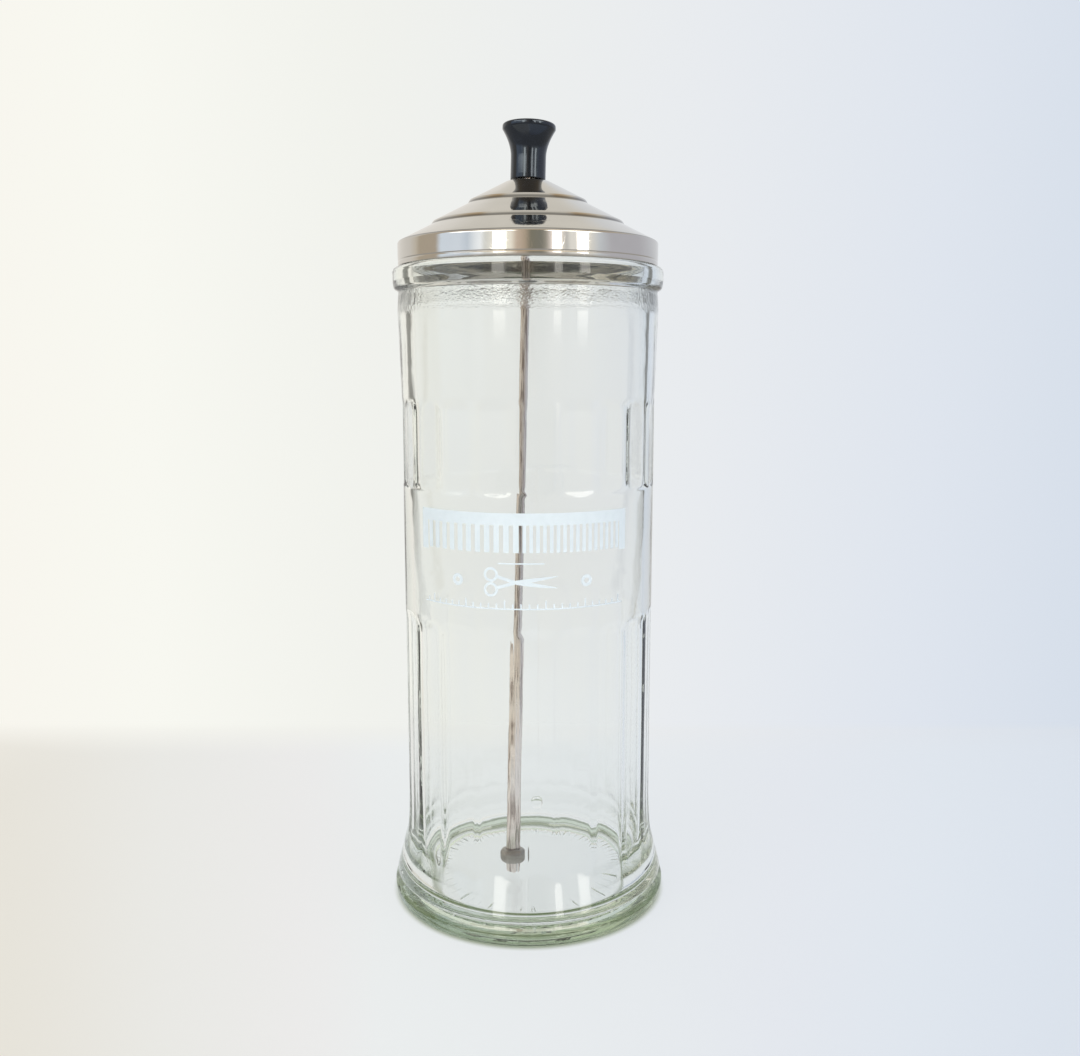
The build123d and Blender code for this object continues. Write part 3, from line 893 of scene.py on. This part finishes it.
def rule_print():
    """A fill line with short ticks, and a short rule under the comb."""
    ribbons = [
        bar((-RULE_HALF, RULE_Z), (RULE_HALF, RULE_Z), RULE_WIDTH),
        bar((-SHORT_RULE_HALF, SHORT_RULE_Z), (SHORT_RULE_HALF, SHORT_RULE_Z), RULE_WIDTH),
    ]
    for k in range(TICKS):
        x = (k / (TICKS - 1) - 0.5) * TICK_SPAN
        height = LONG_TICK_HEIGHT if k % LONG_TICK_EVERY == 1 else TICK_HEIGHT
        ribbons.append(bar((x, RULE_Z), (x, RULE_Z + height), TICK_WIDTH, step=2 * MM))
    return printed("print_fill_rule", ribbons)


# ---------------- lid, knob, rod, foot bead

def lid_top_points():
    """(radius, height) of the lid's corners from the fold up to the edge of the seat."""
    points = [(SKIRT_R, FOLD_Z)]
    for lower_r, upper_r, height in RISERS:
        last_r, last_z = points[-1]
        tier_top_z = last_z + (last_r - lower_r) * TIER_TAN
        points.append((lower_r, tier_top_z))
        points.append((upper_r, tier_top_z + height))
    last_r, last_z = points[-1]
    points.append((SEAT_R, last_z + (last_r - SEAT_R) * TIER_TAN))
    return points


def lid_piece():
    """Drawn sheet: skirt with a hem folded inside, three tiers, a flat seat with a hole."""
    tiers = lid_top_points()
    hem_r = SKIRT_R - 2 * SHEET
    groove_z = SKIRT_BOTTOM_Z + HEM_HEIGHT
    outside = [
        (hem_r, SKIRT_BOTTOM_Z, 0.3 * MM),
        (SKIRT_R - 0.16 * MM, SKIRT_BOTTOM_Z, 0.35 * MM),
        (SKIRT_R - 0.06 * MM, groove_z - GROOVE_HALF_HEIGHT, 0.2 * MM),
        (SKIRT_R - GROOVE_DEPTH, groove_z, 0.2 * MM),
        (SKIRT_R - 0.07 * MM, groove_z + GROOVE_HALF_HEIGHT, 0.2 * MM),
        (SKIRT_R, groove_z + 2.6 * MM, SKIRT_BULGE_R),
    ]
    outside.append((*tiers[0], FOLD_ROUND))
    outside += [(*point, RISER_ROUND) for point in tiers[1:]]
    outside.append((LID_HOLE_R, SEAT_Z, LID_HOLE_ROUND))
    drop = SHEET / cos(atan2(TIER_TAN, 1))
    inside = [(LID_HOLE_R, SEAT_Z - SHEET, LID_HOLE_ROUND)]
    for r, z in reversed(tiers[1:]):
        inside.append((r - 0.25 * SHEET, z - drop, RISER_ROUND))
    inside[1] = (SEAT_R, SEAT_Z - SHEET, RISER_ROUND)
    inside.append((SKIRT_R - SHEET, FOLD_Z - 0.6 * SHEET, 0.6 * FOLD_ROUND))
    inside.append((SKIRT_R - SHEET, groove_z))
    inside.append((hem_r, groove_z, 0.2 * MM))
    points = subdivided(outline(outside + inside, steps=6, close=True), 4.0 * MM, close=True)
    return turned("lid_steel_shell", points, segments=256, close=True, smooth_deg=50)


def knob_piece(place):
    """Moulded knob with a straight shank, flared head, rounded edge, shallow dish and blind hole."""
    shank_top = KNOB_FOOT_Z + KNOB_SHANK_HEIGHT
    flare_top = KNOB_FOOT_Z + KNOB_FLARE_HEIGHT
    top = KNOB_FOOT_Z + KNOB_HEIGHT
    rise = KNOB_TOP_R - KNOB_SHANK_R
    end_run = KNOB_FLARE_END_SLOPE * (flare_top - shank_top)
    flare = []
    for k in range(1, KNOB_FLARE_STEPS):
        t = k / KNOB_FLARE_STEPS
        r = KNOB_SHANK_R + rise * t * t * (3 - 2 * t) + end_run * t * t * (t - 1)
        flare.append((r, shank_top + (flare_top - shank_top) * t))
    hole_top = KNOB_FOOT_Z + KNOB_HOLE_DEPTH
    points = [
        (0, hole_top),
        (INSERT_R, hole_top),
        (INSERT_R, KNOB_FOOT_Z, 0.2 * MM),
        (KNOB_SHANK_R, KNOB_FOOT_Z, KNOB_FOOT_ROUND),
        (KNOB_SHANK_R, shank_top),
        *flare,
        (KNOB_TOP_R, flare_top),
        (KNOB_TOP_R, top, KNOB_EDGE_ROUND),
        (KNOB_DISH_R, top, 0.6 * MM),
        (0, top - KNOB_DISH_DEPTH),
    ]
    return turned("knob_black_moulding", subdivided(outline(points, steps=6), 1.5 * MM), 128, place=place)


def rod_piece(place):
    """Round drawn rod with rounded ends."""
    points = outline([
        (0, ROD_BOTTOM),
        (ROD_R, ROD_BOTTOM, ROD_END_ROUND),
        (ROD_R, ROD_TOP, ROD_END_ROUND),
        (0, ROD_TOP),
    ], steps=5)
    return turned("rod_drawn_steel", subdivided(points, 4.0 * MM), 40, place=place)


def bead_piece(place):
    """Barrel collar pressed on the rod, with rounded edges."""
    low = BEAD_COLLAR_MIDDLE - BEAD_COLLAR_HEIGHT / 2
    high = BEAD_COLLAR_MIDDLE + BEAD_COLLAR_HEIGHT / 2
    bore = ROD_R + 0.01 * MM
    points = outline([
        (bore, low, 0.25 * MM),
        (BEAD_COLLAR_R, low, BEAD_COLLAR_ROUND),
        (BEAD_COLLAR_R, high, BEAD_COLLAR_ROUND),
        (bore, high, 0.25 * MM),
    ], steps=10, close=True)
    return turned("foot_bead_collar", subdivided(points, 1.2 * MM, close=True), 64, close=True, place=place)


# ---------------- floor, backdrop, light and camera

FLOOR_R = 0.50
BACKDROP_R = 3.0
BACKDROP_SWEEP_R = 0.8
BACKDROP_TOP_Z = 3.2
BACKDROP_SWEEP_STEPS = 24
ROUND_STEPS = 192
PAPER_FADE_R = (0.26, FLOOR_R - 0.02)
FOLD_FADE = 0.03
FOLD_Y = 0.165             # where the paper's faint fold runs behind the jar
PAPER_GLOW = 0.85          # how much of the pale paper's tone is its own glow
FOOT_RING_SHADE = 0.35     # how much of that is lost in the shadow under the foot's ring
FAN_Y = -0.41              # the backdrop's colours fan out from this point in front of the jar
CAMERA_AT = Vector((4.41 * MM, -408.5 * MM, 204.0 * MM))
CAMERA_PITCH = radians(8.55)
CAMERA_LENS = 36.1
CAMERA_SENSOR = 36.0
CAMERA_NEAREST = 0.01
JAR_MIDDLE = Vector((0, 0, RIM_Z / 2))


def linear(r, g, b):
    """A colour given as display values from 0 to 255, as the linear values that shaders take."""
    return tuple(((v / 255 + 0.055) / 1.055) ** 2.4 for v in (r, g, b))


def displayed(*bands):
    """Bands of (azimuth, red, green, blue) in display values, as (azimuth, linear colour)."""
    return tuple((azimuth, linear(*colour)) for azimuth, *colour in bands)


def at(azimuth_deg):
    """Place on a ramp that runs once round, from -180 to 180 degrees."""
    return azimuth_deg / 360.0 + 0.5


# Azimuth from straight behind the jar towards +X, and the backdrop's colour there: painted light, warm and
# bright to the left, cooler and dimmer to the right and round the sides.
BACKDROP_BANDS = displayed(
    (-180, 176, 173, 168),
    (-110, 198, 192, 182),
    (-60, 232, 227, 215),
    (-30, 248, 245, 237),
    (-20, 248, 248, 241),
    (-9, 241, 242, 237),
    (9, 232, 235, 239),
    (20, 223, 229, 238),
    (30, 212, 221, 233),
    (60, 194, 202, 217),
    (110, 182, 184, 194),
    (180, 176, 173, 168),
)

# The paper's tones near the jar, round the same point as the backdrop's: painted light, warm to the left and
# cooler to the right.
FLOOR_BANDS = displayed(
    (-180, 210, 210, 210),
    (-30, 229, 225, 213),
    (-26, 230, 227, 218),
    (-20, 233, 233, 229),
    (-12, 236, 236, 236),
    (-8, 235, 239, 240),
    (8, 230, 235, 240),
    (14, 227, 232, 240),
    (21, 222, 230, 240),
    (27, 217, 226, 238),
    (34, 212, 221, 233),
    (180, 210, 210, 210),
)

# Painted light: light that has run through the thick foot tints the paper it stands on.
FOOT_RING_PAINTED_LIGHT = linear(124, 144, 98)

# The backdrop as the glass sees it: two darker doorways just past the edges of the pale paper.
DOORWAYS_DEG = (-38.5, 37.5)
DOORWAY_HALF_DEG = 4.0
DOORWAY_EDGE_DEG = 1.5
DOORWAY_REACH_DEG = 12.0
DOORWAY_COLOUR = linear(96, 96, 88)

# Azimuth from the front towards +X, and the room's colour there as the lid's skirt mirrors it.
ROOM_BANDS = (
    (-180, (0.86, 0.84, 0.80)),
    (-124, (0.78, 0.76, 0.73)),
    (-112, (0.68, 0.63, 0.55)),
    (-107, (0.54, 0.48, 0.39)),
    (-85, (0.52, 0.46, 0.38)),
    (-79, (0.86, 0.98, 1.14)),
    (-60, (0.88, 0.99, 1.15)),
    (-52, (0.74, 0.85, 1.00)),
    (-45, (1.05, 1.14, 1.25)),
    (-40, (1.20, 1.28, 1.38)),
    (-36, (0.90, 0.93, 0.92)),
    (-30, (1.05, 1.05, 1.00)),
    (-14, (1.15, 1.12, 1.02)),
    (-9, (0.74, 0.62, 0.52)),
    (-2, (0.56, 0.47, 0.37)),
    (3, (0.27, 0.26, 0.21)),
    (12, (0.27, 0.27, 0.24)),
    (16, (0.45, 0.43, 0.38)),
    (20, (1.00, 0.93, 0.90)),
    (30, (1.00, 0.96, 0.92)),
    (33, (0.66, 0.66, 0.66)),
    (37, (1.00, 1.00, 0.98)),
    (55, (0.95, 0.95, 0.92)),
    (64, (0.72, 0.78, 0.86)),
    (76, (0.58, 0.59, 0.66)),
    (112, (0.56, 0.57, 0.64)),
    (134, (0.66, 0.69, 0.76)),
    (180, (0.80, 0.82, 0.84)),
)

CEILING_FRONT = (0.58, 0.46, 0.32)
CEILING_BACK = (0.76, 0.74, 0.69)
LOWER_ROOM_COLOUR = (0.42, 0.41, 0.39)

# Where the room's parts run into each other, as the upward part of a direction of length 1.
LOWER_ROOM_RISE = (-0.02, -0.16)
WINDOW_FOOT_RISE = (-0.05, 0.0)
WINDOW_HEAD_RISE = (0.45, 0.42)
UPPER_WINDOW_FOOT_RISE = (0.24, 0.29)
UPPER_WINDOW_HEAD_RISE = (0.44, 0.38)
CEILING_RISE = (0.50, 0.66)
OVERHEAD_RISE = (0.78, 0.84)
CEILING_BACKWARDS = (-0.10, 0.50)      # the same from front to back, for the ceiling's two tones

# Bright windows in the room: middle azimuth and width in degrees.
WINDOWS = ((-23.5, 9.0), (25.0, 6.0), (48.0, 8.0))
WINDOW_GLOW = (4.2, 4.1, 3.8)
WINDOW_EDGE_DEG = 1.0

# Azimuth and glow of the bright upper windows, which only slanted surfaces mirror.
UPPER_WINDOW_BANDS = (
    (-74, 0.0), (-66, 0.7), (-44, 0.9), (-14, 1.0), (-8, 0.0), (14, 0.0), (19, 1.0), (58, 0.8), (70, 0.0),
)


def azimuth_turn(tree, parts, forward_sign, offset_y=0.0):
    """Azimuth of a vector's X, Y and Z as 0 to 1 once round, with 0.5 straight along forward_sign * Y."""
    ahead = times(tree, math_node(tree, "SUBTRACT", parts["Y"], offset_y), forward_sign)
    angle = math_node(tree, "ARCTAN2", parts["X"], ahead)
    return math_node(tree, "ADD", math_node(tree, "DIVIDE", angle, 2 * pi), 0.5)


def ramp_round(tree, turn, bands):
    return ramp(tree, turn, [(at(azimuth), colour) for azimuth, colour in bands])


def backdrop_material(name, bands):
    """A glowing backdrop with the given tones round the horizon."""
    material = bpy.data.materials.new(name)
    material.use_nodes = True
    tree = material.node_tree
    source = node(tree, "ShaderNodeTexCoord")
    turn = azimuth_turn(tree, axes(tree, source.outputs["Object"]), 1.0, FAN_Y)
    glow = node(tree, "ShaderNodeEmission", {"Color": ramp_round(tree, turn, bands)})
    feed(tree, tree.nodes["Material Output"].inputs["Surface"], glow.outputs[0])
    return material


def floor_material():
    """Pale paper near the jar that turns into the backdrop's tones past its fold and further out, with a
    painted shadow and painted olive light in a ring under the foot.
    """
    material, tree, shader = new_material("stage_floor", Base_Color=(0.86, 0.86, 0.86, 1), Roughness=0.85)
    source = node(tree, "ShaderNodeTexCoord")
    parts = axes(tree, source.outputs["Object"])
    turn = azimuth_turn(tree, parts, 1.0, FAN_Y)
    distance = length(tree, source.outputs["Object"])
    far = soft_step(tree, distance, *PAPER_FADE_R)
    behind = soft_step(tree, parts["Y"], FOLD_Y - FOLD_FADE, FOLD_Y + FOLD_FADE)
    past_paper = math_node(tree, "MAXIMUM", far, behind)
    # painted light: the paper's and the backdrop's warm-to-cool tones
    paper, backdrop = (ramp_round(tree, turn, bands) for bands in (FLOOR_BANDS, BACKDROP_BANDS))
    tone = mix_colour(tree, past_paper, paper, backdrop)
    # painted shadow and painted olive light in a ring under the foot
    inner = soft_step(tree, distance, PUSH_UP_R, PUSH_UP_R + 5 * MM)
    outer = soft_step(tree, distance, HEEL_R + 1.5 * MM, HEEL_R - 3 * MM)
    under_foot = times(tree, inner, outer)
    glow = node(tree, "ShaderNodeEmission", {"Color": mix_colour(tree, under_foot, tone, FOOT_RING_PAINTED_LIGHT)})
    paper_glow = math_node(tree, "SUBTRACT", PAPER_GLOW, times(tree, under_foot, FOOT_RING_SHADE))
    glowing = math_node(tree, "MAXIMUM", past_paper, paper_glow)
    blend = node(tree, "ShaderNodeMixShader", {0: glowing, 1: shader.outputs[0], 2: glow.outputs[0]})
    feed(tree, tree.nodes["Material Output"].inputs["Surface"], blend.outputs[0])
    return material


def build_stage():
    """A round floor near the jar, one backdrop that only the camera sees and one that only glass sees."""
    near = turned("studio_floor", [(0, 0), (FLOOR_R / 2, 0), (FLOOR_R, 0)], ROUND_STEPS)
    near.data.materials.append(floor_material())
    profile = [(FLOOR_R, 0), (1.2, 0), (BACKDROP_R - BACKDROP_SWEEP_R, 0)]
    for k in range(1, BACKDROP_SWEEP_STEPS + 1):
        turn = pi / 2 * k / BACKDROP_SWEEP_STEPS
        out = BACKDROP_R - BACKDROP_SWEEP_R + BACKDROP_SWEEP_R * sin(turn)
        profile.append((out, BACKDROP_SWEEP_R * (1 - cos(turn))))
    profile.append((BACKDROP_R, BACKDROP_TOP_Z))
    shells = (
        ("studio_backdrop", BACKDROP_BANDS, True),
        ("studio_backdrop_in_glass", with_doorways(BACKDROP_BANDS), False),
    )
    for name, bands, for_camera in shells:
        far = turned(name, profile, ROUND_STEPS)
        far.data.materials.append(backdrop_material(name, bands))
        far.visible_camera = for_camera
        far.visible_transmission = not for_camera
        far.visible_glossy = False
        far.visible_diffuse = False
        far.visible_shadow = False


def with_doorways(bands):
    """The backdrop's bands with the darker doorways let in."""
    result = list(bands)
    for middle in DOORWAYS_DEG:
        low, high = middle - DOORWAY_HALF_DEG, middle + DOORWAY_HALF_DEG
        tone = next(colour for azimuth, colour in bands if abs(azimuth - middle) < DOORWAY_REACH_DEG)
        result = [band for band in result if not low - DOORWAY_EDGE_DEG <= band[0] <= high + DOORWAY_EDGE_DEG]
        result += [(low - DOORWAY_EDGE_DEG, tone), (low, DOORWAY_COLOUR)]
        result += [(high, DOORWAY_COLOUR), (high + DOORWAY_EDGE_DEG, tone)]
    return sorted(result)


def window_glow(tree, turn, height):
    """How brightly the windows shine in a direction: the tall ones, or the upper ones where brighter."""
    def row(bands, foot, head):
        between = times(tree, soft_step(tree, height, *foot), soft_step(tree, height, *head))
        return times(tree, ramp_round(tree, turn, bands), between)

    stops = []
    for middle, width in WINDOWS:
        low, high = middle - width / 2, middle + width / 2
        stops += [(low - WINDOW_EDGE_DEG, 0.0), (low, 1.0), (high, 1.0), (high + WINDOW_EDGE_DEG, 0.0)]
    tall = row(stops, WINDOW_FOOT_RISE, WINDOW_HEAD_RISE)
    upper = row(UPPER_WINDOW_BANDS, UPPER_WINDOW_FOOT_RISE, UPPER_WINDOW_HEAD_RISE)
    return math_node(tree, "MAXIMUM", tall, upper)


def world_light():
    """The room: bands of wall and window round the horizon, a soft ceiling, and a darker lower part."""
    world = bpy.data.worlds.new("studio_room")
    bpy.context.scene.world = world
    world.use_nodes = True
    tree = world.node_tree
    parts = axes(tree, node(tree, "ShaderNodeTexCoord").outputs["Generated"])
    turn = azimuth_turn(tree, parts, -1.0)
    height = parts["Z"]
    backwards = soft_step(tree, parts["Y"], *CEILING_BACKWARDS)
    ceiling = mix_colour(tree, backwards, CEILING_FRONT, CEILING_BACK)
    ceiling = mix_colour(tree, soft_step(tree, height, *OVERHEAD_RISE), ceiling, CEILING_BACK)
    walls = ramp_round(tree, turn, ROOM_BANDS)
    upper = mix_colour(tree, soft_step(tree, height, *CEILING_RISE), walls, ceiling)
    room = mix_colour(tree, soft_step(tree, height, *LOWER_ROOM_RISE), upper, LOWER_ROOM_COLOUR)
    windows = node(tree, "ShaderNodeVectorMath", operation="SCALE")
    windows.inputs[0].default_value = WINDOW_GLOW
    feed(tree, windows.inputs["Scale"], window_glow(tree, turn, height))
    total = node(tree, "ShaderNodeVectorMath", {0: room, 1: windows.outputs[0]}, operation="ADD")
    feed(tree, tree.nodes["Background"].inputs["Color"], total.outputs[0])
    feed(tree, tree.nodes["Background"].inputs["Strength"], 1.0)


# Soft lamps: name, place, size, power in watts and colour.
LAMPS = (
    ("window_left", (-1.5, -1.0, 1.2), (0.9, 1.2), 3.0, (1.0, 0.97, 0.90)),
    ("side_right", (1.5, -0.6, 1.3), (1.0, 1.2), 2.2, (0.85, 0.92, 1.0)),
    ("overhead", (0, -0.2, 1.8), (1.4, 1.4), 4.0, (0.88, 0.94, 1.0)),
)


def area_light(name, place, size, power, colour):
    """A soft lamp aimed at the middle of the jar. Mirrors and glass see the room instead of it."""
    data = bpy.data.lights.new(name, "AREA")
    data.shape = "RECTANGLE"
    data.size, data.size_y = size
    data.energy = power
    data.color = colour
    lamp = bpy.data.objects.new(name, data)
    lamp.location = place
    lamp.rotation_euler = (JAR_MIDDLE - Vector(place)).to_track_quat("-Z", "Y").to_euler()
    lamp.visible_glossy = False
    lamp.visible_transmission = False
    bpy.context.scene.collection.objects.link(lamp)


def build_lights():
    for lamp in LAMPS:
        area_light(*lamp)


def build_camera():
    data = bpy.data.cameras.new("photo_view")
    data.lens = CAMERA_LENS
    data.sensor_width = CAMERA_SENSOR
    data.clip_start = CAMERA_NEAREST
    camera = bpy.data.objects.new("photo_view", data)
    camera.location = CAMERA_AT
    camera.rotation_euler = (pi / 2 - CAMERA_PITCH, 0, 0)
    bpy.context.scene.collection.objects.link(camera)
    bpy.context.scene.camera = camera


# ---------------- putting it together

def dress(piece, material, body, replaced=None):
    """Give a new piece its material and its body, and hide what it stands for."""
    piece.data.materials.append(material)
    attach(piece, body)
    if replaced:
        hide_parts(replaced)


def repaint(node_name, material):
    """Give a CAD node a new material."""
    slots = frame["nodes"][node_name].data.materials
    if len(slots) == 0:
        slots.append(material)
    for n in range(len(slots)):
        slots[n] = material


build_camera()
build_stage()
world_light()
build_lights()

ROD_PLACE = rod_place()
PRINT = print_material()
LID_STEEL = steel_material("lid_steel", (0.72, 0.69, 0.64), roughness=0.050, spread=0.025)
FIXING = plain_metal("fixing_steel", (0.60, 0.60, 0.60), roughness=0.30)
BRASS = plain_metal("insert_brass", (0.72, 0.56, 0.30), roughness=0.28)

dress(glass_jar_piece(), glass_material(), "jar", "glass_jar")
for decoration in (comb_print(), scissors_print(), rule_print()):
    dress(decoration, PRINT, "jar")
dress(lid_piece(), LID_STEEL, "lid", "lid_shell")
dress(knob_piece(ROD_PLACE), knob_material(), "lift_rod_assembly", "knob")
dress(rod_piece(ROD_PLACE), rod_material(), "lift_rod_assembly", "lift_rod")
dress(bead_piece(ROD_PLACE), bead_material(), "lift_rod_assembly", "foot_bead")
for fixing in ("under_lid_washer", "lock_washer", "retaining_nut"):
    repaint(fixing, FIXING)
repaint("knob_insert", BRASS)

scene = bpy.context.scene
scene.view_settings.view_transform = "Standard"
scene.cycles.max_bounces = 24
scene.cycles.transmission_bounces = 20
scene.cycles.glossy_bounces = 12
